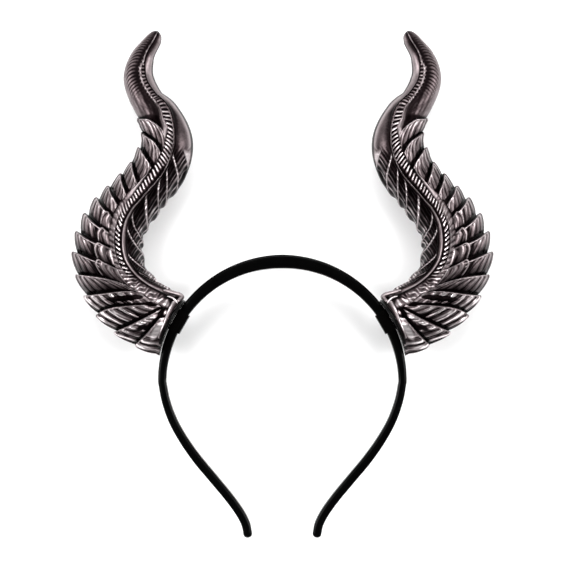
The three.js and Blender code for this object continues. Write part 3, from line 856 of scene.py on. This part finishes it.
def rim_skin():
    """The collar round the open base, with a painted highlight along it and painted shade on its end: outer
    side, end and a short inner wall.
    """
    turn = round_steps(180)[None, :]
    # mm from the base end, mm above the horn's own surface, and tone: a painted highlight on the outer side,
    # painted shade on the end and inner wall
    profile = np.array([
        (3.4, -0.8, 0.1),
        (2.9, 0.2, 0.2),
        (2.6, 0.9, 0.82),
        (2.3, 1.15, 0.88),
        (1.9, 1.2, 0.72),
        (1.4, 1.15, 0.5),
        (0.9, 1.1, 0.25),
        (0.4, 1.0, 0.12),
        (0.1, 0.8, 0.08),
        (0.0, 0.5, 0.05),
        (0.0, -0.6, 0.05),
        (0.0, -1.9, 0.05),
        (1.0, -2.0, 0.05),
        (6.0, -2.0, 0.05),
    ])
    # The collar is widest at its inner end, and both its ends sink into the horn.
    beside = -np.cos(turn)
    narrow = mix(1, 0.62, smooth(beside, -0.7, 0.1))
    outside = profile[:, 1:2] > -1.5
    from_end = profile[:, :1] * np.where(outside, narrow, 1) - 0.5 * outside * smooth(beside, -0.4, 0.1)
    share = from_end / HORN.length
    _, _, width, depth = HORN.read(share)
    sunk = np.maximum(smooth(beside, 0.45, 0.7), smooth(-beside, 0.7, 0.8))
    height = profile[:, 1:2] - 2.6 * sunk * (profile[:, 1:2] > 0)
    across = beside * (width + height) / width
    points = HORN.place(share, across, np.sin(turn) * (depth + height))
    skin = Skin()
    skin.add(points, profile[:, 2:] + 0 * turn, closed=False)
    for rows, wear_and_painted_light in ((RAIL_END_ROWS, 0.66), (CURL_ROWS, 0.9)):
        for side in (1, -1):
            skin.add(tube(rows, side), wear_and_painted_light)
    return skin


def tube(rows, side, count=48, columns=12):
    """A round bar along rows like RAIL_END_ROWS, on the front (side 1) or on the back (side -1)."""
    rows = np.array(rows)
    mm, across, height, radius = through(rows, count).T
    line = HORN.place(mm / HORN.length, across, height * side)
    along = unit(np.gradient(line, axis=0))
    aside = unit(np.cross(along, [0, 0, 1.0]))
    upward = np.cross(aside, along)
    turn = round_steps(columns)
    end = np.sqrt(1 - np.clip(1 - np.minimum(np.arange(count), np.arange(count)[::-1]) / 4, 0, 0.98) ** 2)
    offsets = aside[:, None] * np.cos(turn)[None, :, None] + upward[:, None] * np.sin(turn)[None, :, None]
    return line[:, None] + offsets * (radius * end)[:, None, None]


# Band, base plates and clips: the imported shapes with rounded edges

def rounded_section(half_out, half_front, radius, per_corner=5):
    """A rectangle with round corners, as offsets outward and to the front."""
    offsets = []
    for corner, signs in enumerate([(1, 1), (-1, 1), (-1, -1), (1, -1)]):
        centre = np.array(signs) * [half_out - radius, half_front - radius]
        for step in range(per_corner):
            angle = math.pi / 2 * (corner + step / (per_corner - 1))
            offsets.append(centre + radius * np.array([math.cos(angle), math.sin(angle)]))
    return np.array(offsets)


def band_skin():
    """The band: the arc over the head and the two legs, down to their rounded tips."""
    arc = np.linspace(math.pi / 2, 0, 70)
    arc_points = np.column_stack([np.cos(arc), np.sin(arc), 0 * arc]) * HEAD_RADIUS
    rows = np.array(LEG_ROWS) * [HEAD_RADIUS, -LEG_DROP]
    leg = through(np.column_stack([rows, np.zeros(len(rows))]), 90)[1:]
    share = lengths_along(leg) / lengths_along(leg)[-1]
    leg_thickness = np.interp(share, [0, 0.5, 1], [SIDE_THICKNESS, LEG_THICKNESS, TIP_THICKNESS])
    line = np.vstack([arc_points, leg])
    thickness = np.concatenate([arc_thickness(arc), leg_thickness])
    tangent = unit(np.gradient(line, axis=0))
    outward = np.column_stack([-tangent[:, 1], tangent[:, 0], 0 * thickness])
    radius = TIP_THICKNESS / 2
    cap = np.radians([15, 30, 45, 60, 72, 82, 88])
    cap_line = line[-1] + np.outer(np.sin(cap) * radius, tangent[-1])
    shrink = np.concatenate([0 * thickness, radius * (1 - np.cos(cap))])
    line = np.vstack([line, cap_line])
    outward = np.vstack([outward, np.repeat(outward[-1:], len(cap), 0)])
    thickness = np.concatenate([thickness, np.full(len(cap), TIP_THICKNESS)])
    rings = []
    for point, direction, thick, less in zip(line, outward, thickness, shrink):
        half_out, half_front = thick / 2 + BAND_FULLNESS - less, BAND_DEPTH / 2 - less
        offsets = rounded_section(half_out, half_front, min(BAND_ROUNDING, half_out * 0.9))
        rings.append(point + np.outer(offsets[:, 0], direction) + np.outer(offsets[:, 1], [0, 0, 1]))
    right = np.array(rings)
    left = right[1:][::-1] * [-1, 1, 1]
    rings = np.vstack([left, right])
    return plain_skin(rings)


def on_arc(radius, angle, front):
    """Points round the middle of the head."""
    radius, angle, front = np.broadcast_arrays(radius, angle, front)
    return np.stack([radius * np.cos(angle), radius * np.sin(angle), front], -1)


def plate_skin():
    """The base plate: the horn's base outline on a round slab, with a soft edge."""
    turn = round_steps(160)[None, :]
    _, _, width, depth = HORN.read(0.0)
    soft = SOFT_EDGE
    # Height, share of the outline and mm added to it, for the inner side and mirrored for the outer one
    inner_side = [(0.0, share, 0.0) for share in (0.0, 0.3, 0.6, 0.85)]
    for angle in np.radians([0, 30, 60, 90]):
        inner_side.append((soft * (1 - math.cos(angle)), 1.0, soft * (math.sin(angle) - 1)))
    inner_side = np.array(inner_side)
    outer_side = inner_side[::-1] * [-1, 1, 1] + [PLATE_THICKNESS, 0, 0]
    profile = np.vstack([inner_side, outer_side])
    size = profile[:, 1:2]
    along = -np.cos(turn) * (size * (width + RIM_HEIGHT) + profile[:, 2:3])
    along = along * np.where(along < 0, 1 - PLATE_INSET / width, 1)
    front = np.sin(turn) * (size * (depth + RIM_HEIGHT) + profile[:, 2:3])
    radius = PLATE_RADIUS + profile[:, :1] + 0 * turn
    points = on_arc(radius, MOUNT_ANGLE - along / BASE_RADIUS, front)
    return plain_skin(points[:, ::-1], closed=False)


def clip_skin():
    """The clip: a U-shaped strap swept along the band, with round corners and closed ends."""
    angle = MOUNT_ANGLE + CLIP_SHIFT
    half_angle = CLIP_LENGTH / 2 / HEAD_RADIUS
    inside = HEAD_RADIUS - arc_thickness(angle + half_angle) / 2 - GAP
    bottom, top = inside - CLIP_WALL, PLATE_RADIUS - 0.05
    inner_side = BAND_DEPTH / 2 + GAP
    outer_side = inner_side + CLIP_WALL
    soft = SOFT_EDGE
    outline = []

    def corner(radius, front, from_turn, size):
        for turn in np.linspace(from_turn, from_turn + 90, 5):
            turn = math.radians(turn)
            outline.append((radius + size * math.cos(turn), front + size * math.sin(turn)))

    corner(top - soft, outer_side - soft, 0, soft)
    corner(bottom + 2 * soft, outer_side - 2 * soft, 90, 2 * soft)
    corner(bottom + 2 * soft, -outer_side + 2 * soft, 180, 2 * soft)
    corner(top - soft, -outer_side + soft, 270, soft)
    outline += [(top, -inner_side), (inside, -inner_side), (inside, inner_side), (top, inner_side)]
    radius, front = np.array(outline).T
    # Closely spaced rings at each end keep its edge crisp.
    reaches = (-1.0, -0.985, -0.95, -0.9, 0.9, 0.95, 0.985, 1.0)
    rings = np.array([on_arc(radius, angle + half_angle * reach, front) for reach in reaches])
    return plain_skin(rings)


# Materials

def new_material(name):
    material = bpy.data.materials.new(name)
    material.use_nodes = True
    tree = material.node_tree
    tree.nodes.clear()
    output = tree.nodes.new("ShaderNodeOutputMaterial")
    shader = tree.nodes.new("ShaderNodeBsdfPrincipled")
    tree.links.new(shader.outputs["BSDF"], output.inputs["Surface"])
    return material, tree, shader


def set_inputs(tree, node, inputs):
    """Sets a node's inputs, by name or number, to plain values or to links."""
    for name, value in inputs.items():
        if isinstance(value, bpy.types.NodeSocket):
            tree.links.new(value, node.inputs[name])
        else:
            node.inputs[name].default_value = value


def add_node(tree, kind, inputs):
    node = tree.nodes.new(kind)
    set_inputs(tree, node, inputs)
    return node


def noise_node(tree, scale, detail, roughness=0.5):
    where = tree.nodes.new("ShaderNodeTexCoord").outputs["Object"]
    inputs = {"Vector": where, "Scale": scale, "Detail": detail, "Roughness": roughness}
    return add_node(tree, "ShaderNodeTexNoise", inputs).outputs["Fac"]


def ramp_node(tree, value, stops):
    ramp = add_node(tree, "ShaderNodeValToRGB", {"Fac": value})
    elements = ramp.color_ramp.elements
    while len(elements) < len(stops):
        elements.new(0.5)
    for element, (position, colour) in zip(elements, stops):
        element.position = position
        element.color = (*colour, 1)
    return ramp.outputs["Color"]


def range_node(tree, value, low, high, from_low=0.0, from_high=1.0):
    inputs = {"Value": value, "From Min": from_low, "From Max": from_high, "To Min": low, "To Max": high}
    return add_node(tree, "ShaderNodeMapRange", inputs).outputs["Result"]


def bump_node(tree, height, strength, distance):
    inputs = {"Height": height, "Strength": strength, "Distance": distance}
    return add_node(tree, "ShaderNodeBump", inputs).outputs["Normal"]


def field_node(tree, name):
    node = tree.nodes.new("ShaderNodeAttribute")
    node.attribute_name = name
    return node.outputs["Fac"]


def pewter_material():
    """Antiqued pewter coating with painted light: near-black in the hollows, partly antiquing and partly
    painted shade, and bright and smooth on the worn edges, partly painted highlight.
    """
    material, tree, shader = new_material("antiqued_pewter_with_painted_light")

    def calc(operation, *values):
        node = add_node(tree, "ShaderNodeMath", dict(enumerate(values)))
        node.operation = operation
        return node.outputs["Value"]

    wear_and_painted_light, depth = field_node(tree, "wear_and_painted_light"), field_node(tree, "mark_depth")
    wave = calc("COSINE", calc("MULTIPLY", field_node(tree, "hatch"), 2 * math.pi))
    stroke = calc("POWER", calc("MULTIPLY_ADD", wave, 0.5, 0.5), 2.5)
    # Between the strokes the tone falls to a tenth, on them it rises.
    shade = calc("MULTIPLY_ADD", stroke, 1.9, 0.1)
    shade = calc("MULTIPLY_ADD", calc("SUBTRACT", shade, 1.0), depth, 1.0)
    patches = noise_node(tree, 110, 5, 0.62)
    mottle = noise_node(tree, 900, 3, 0.6)
    # The scales' curved edges are bright lines.
    part = calc("FRACT", field_node(tree, "scale"))
    aside = calc("MINIMUM", part, calc("SUBTRACT", 1.0, part))
    line = range_node(tree, aside, 1.0, 0.0, 0.04, 0.12)
    line = calc("MULTIPLY", line, calc("MINIMUM", calc("MULTIPLY", depth, 2.0), 1.0))
    tone_with_painted_light = calc("MAXIMUM", calc("MULTIPLY", wear_and_painted_light, shade), calc("MULTIPLY", line, 0.78))
    tone_with_painted_light = calc("MULTIPLY_ADD", calc("SUBTRACT", patches, 0.5), 0.3, tone_with_painted_light)
    tone_with_painted_light = calc("MULTIPLY_ADD", calc("SUBTRACT", mottle, 0.5), 0.16, tone_with_painted_light)
    tones = [
        (0.0, (0.0012, 0.0006, 0.0007)),
        (0.16, (0.009, 0.006, 0.0066)),
        (0.42, (0.1, 0.079, 0.082)),
        (0.7, (0.31, 0.268, 0.274)),
        (1.0, (0.82, 0.755, 0.765)),
    ]
    grain = calc("MULTIPLY", mottle, GRAIN_DEPTH * MM)
    height = calc("MULTIPLY_ADD", calc("MULTIPLY", stroke, depth), HATCH_DEPTH * MM, grain)
    set_inputs(tree, shader, {
        "Base Color": ramp_node(tree, tone_with_painted_light, tones),
        "Metallic": 1.0,
        "Roughness": range_node(tree, tone_with_painted_light, 0.45, 0.27),
        "Normal": bump_node(tree, height, 1.0, 1.0),
    })
    return material


def black_plastic_material(name, base, roughness):
    """Satin moulded plastic: a fine moulded grain and faint handling marks in the gloss."""
    material, tree, shader = new_material(name)
    marks = noise_node(tree, 60, 5, 0.65)
    tones = [(0.3, [c * 0.8 for c in base]), (0.75, [c * 1.35 for c in base])]
    set_inputs(tree, shader, {
        "Base Color": ramp_node(tree, marks, tones),
        "Roughness": range_node(tree, marks, roughness - 0.07, roughness + 0.09, 0.3, 0.7),
        "Specular IOR Level": 0.07,
        "Normal": bump_node(tree, noise_node(tree, 1500, 2), 0.08, 0.1 * MM),
    })
    return material


# Floor, light and camera, in metres

FRAME_PIXELS = 576
PIXEL = 0.55 * MM  # one pixel of the photograph, on the object
PHOTO_MIDDLE = (282.4, 283.3)  # where the object's middle lies in the photograph, in pixels
CAMERA_HEIGHT = 1.3
SENSOR = 36.0  # in millimetres
FLOOR_HALF = 3.0
SIDE_LAMP_POWER = 16
TOP_LAMP_POWER = 12


def add_area(name, place, aim, size, power):
    """A rectangular lamp at place, turned to aim."""
    light = bpy.data.lights.new(name, "AREA")
    light.shape = "RECTANGLE"
    light.size, light.size_y = size
    light.energy = power
    lamp = add_object(name, light)
    lamp.location = place
    lamp.rotation_mode = "QUATERNION"
    direction = mathutils.Vector(np.subtract(aim, place))
    lamp.rotation_quaternion = direction.to_track_quat("-Z", "Y")


def add_lamps():
    for word, side in (("left", -1), ("right", 1)):
        add_area(f"soft_{word}", (0.9 * side, 0.15, 0.75), (0, 0, 0), (0.5, 1.2), SIDE_LAMP_POWER)
    add_area("soft_top", (0.0, 0.95, 0.9), (0, 0.02, 0), (1.1, 0.4), TOP_LAMP_POWER)


def add_floor():
    mesh = bpy.data.meshes.new("floor")
    corners = [(x * FLOOR_HALF, y * FLOOR_HALF, 0) for x, y in ((-1, -1), (1, -1), (1, 1), (-1, 1))]
    mesh.from_pydata(corners, [], [(0, 1, 2, 3)])
    floor = add_object("floor", mesh)
    material, tree, shader = new_material("pale_floor")
    set_inputs(tree, shader, {"Base Color": (0.93, 0.93, 0.93, 1), "Roughness": 0.85})
    mesh.materials.append(material)


def add_world():
    """A pale surround that is darker overhead, so that the pewter keeps its contrast."""
    world = bpy.data.worlds.new("studio")
    bpy.context.scene.world = world
    world.use_nodes = True
    tree = world.node_tree
    where = tree.nodes.new("ShaderNodeTexCoord").outputs["Generated"]
    split = add_node(tree, "ShaderNodeSeparateXYZ", {"Vector": where})
    stops = [(height, (grey,) * 3) for height, grey in ((0.0, 0.9), (0.35, 0.75), (0.8, 0.3), (1.0, 0.16))]
    colour = ramp_node(tree, split.outputs["Z"], stops)
    set_inputs(tree, tree.nodes["Background"], {"Color": colour, "Strength": 0.9})


def add_camera():
    camera = bpy.data.cameras.new("camera")
    camera.sensor_width = SENSOR
    camera.dof.use_dof = False
    camera.lens = SENSOR * CAMERA_HEIGHT / (FRAME_PIXELS * PIXEL)
    eye = add_object("camera", camera)
    x = (FRAME_PIXELS / 2 - PHOTO_MIDDLE[0]) * PIXEL
    y = (PHOTO_MIDDLE[1] - FRAME_PIXELS / 2) * PIXEL
    eye.location = (x, y, HEAD_MIDDLE[2] + CAMERA_HEIGHT)
    bpy.context.scene.camera = eye


def build():
    add_camera()
    add_floor()
    add_world()
    add_lamps()
    pewter = pewter_material()
    band_black = black_plastic_material("band_black", (0.0005, 0.0005, 0.00053), 0.2)
    fitting_black = black_plastic_material("fitting_black", (0.0009, 0.0007, 0.0007), 0.22)

    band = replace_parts(band_skin().piece("band", 1, band_black), "headband")
    cores, rims = core_skin(), rim_skin()
    feathers, coverts = feather_skins()
    plates, clips = plate_skin(), clip_skin()
    for side, word in ((1, "right"), (-1, "left")):
        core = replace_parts(cores.piece(f"horn_core_{word}", side, pewter), f"horn_{word}")
        leaves = feathers.piece(f"feathers_{word}", side, pewter)
        short_leaves = coverts.piece(f"coverts_{word}", side, pewter)
        rim = rims.piece(f"base_rim_{word}", side, pewter)
        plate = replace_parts(plates.piece(f"plate_{word}", side, fitting_black), f"base_plate_{word}")
        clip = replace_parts(clips.piece(f"strap_{word}", side, fitting_black), f"clip_{word}")
    view = bpy.context.scene.view_settings
    view.view_transform = "Standard"
    view.look = "None"


build()
